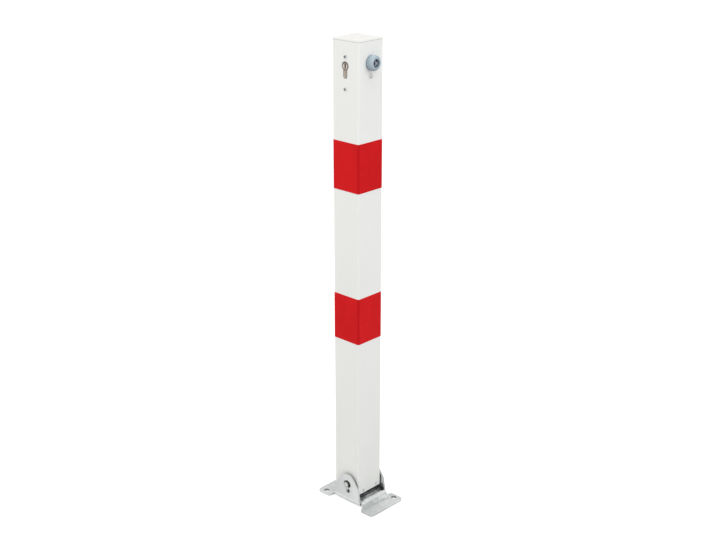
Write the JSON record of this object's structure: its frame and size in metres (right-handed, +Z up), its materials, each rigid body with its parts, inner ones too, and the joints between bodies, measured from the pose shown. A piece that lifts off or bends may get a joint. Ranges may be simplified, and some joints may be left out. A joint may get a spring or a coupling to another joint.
{
  "type": "fold-down bollard",
  "caption": "Square steel parking post with red reflective bands that folds down on a hinged base bracket and locks with a rod, a key cylinder and a triangular stud.",
  "frame": {"origin": "on the ground, under the hinge axis and midway between the ears, which is the middle of the base", "axes": "+Z up along the post, +Y along the hinge axis, +X towards which the post folds down"},
  "size_m": [0.162, 0.101, 1],
  "materials": {
    "white_coat": "white powder coat, satin",
    "red_film": "red reflective film",
    "galvanised": "hot-dip galvanised, dull grey",
    "plated_steel": "zinc plated",
    "spring_steel": "bright spring steel",
    "dark_steel": "oiled dark steel",
    "nickel_brass": "matt nickel plated brass",
    "grey_cast": "blue-grey coated die casting",
    "black_plastic": "moulded"
  },
  "bodies": {
    "base": {"base_bracket": "galvanised", "pivot_axle": "plated_steel", "axle_ring": "spring_steel"},
    "post": {"post_tube": "white_coat", "top_cap": "white_coat", "reflective_band_upper": "red_film", "reflective_band_lower": "red_film", "hinge_sleeve": "dark_steel", "rod_guide": "galvanised", "guide_rivets": "plated_steel", "rod_guide_middle": "black_plastic", "lock_case": "galvanised", "case_screws": "plated_steel", "brake_spring": "spring_steel", "cylinder_body": "nickel_brass", "cylinder_screw": "plated_steel", "key_cup": "grey_cast", "cup_nut": "plated_steel"},
    "key_plug": {"cylinder_plug": "nickel_brass", "cylinder_cam": "dark_steel"},
    "stud": {"triangle_spindle": "plated_steel", "pinion": "dark_steel"},
    "rod": {"rack_slider": "plated_steel", "lock_rod": "plated_steel", "rod_pin": "spring_steel"}
  },
  "joints": [
    {"name": "fold", "type": "hinge", "parent": "base", "child": "post", "pos_m": [0, 0, 0.04592], "axis": [0, 1, 0], "range_deg": [0, 90]},
    {"name": "rod_slide", "type": "slide", "parent": "post", "child": "rod", "axis": [0, 0, 1], "range_m": [-0.02199, 0]},
    {"name": "stud_turn", "type": "hinge", "parent": "post", "child": "stud", "pos_m": [0.02, 0.002, 0.956], "axis": [1, 0, 0], "range_deg": [-180, 0]},
    {"name": "key_turn", "type": "hinge", "parent": "post", "child": "key_plug", "pos_m": [-0.009, 0.002, 0.9495], "axis": [0, 1, 0], "range_deg": [-90, 0]}
  ],
  "couplings": [
    {"joint": "stud_turn", "follows": "rod_slide", "rad_per_m": 142.86}
  ]
}
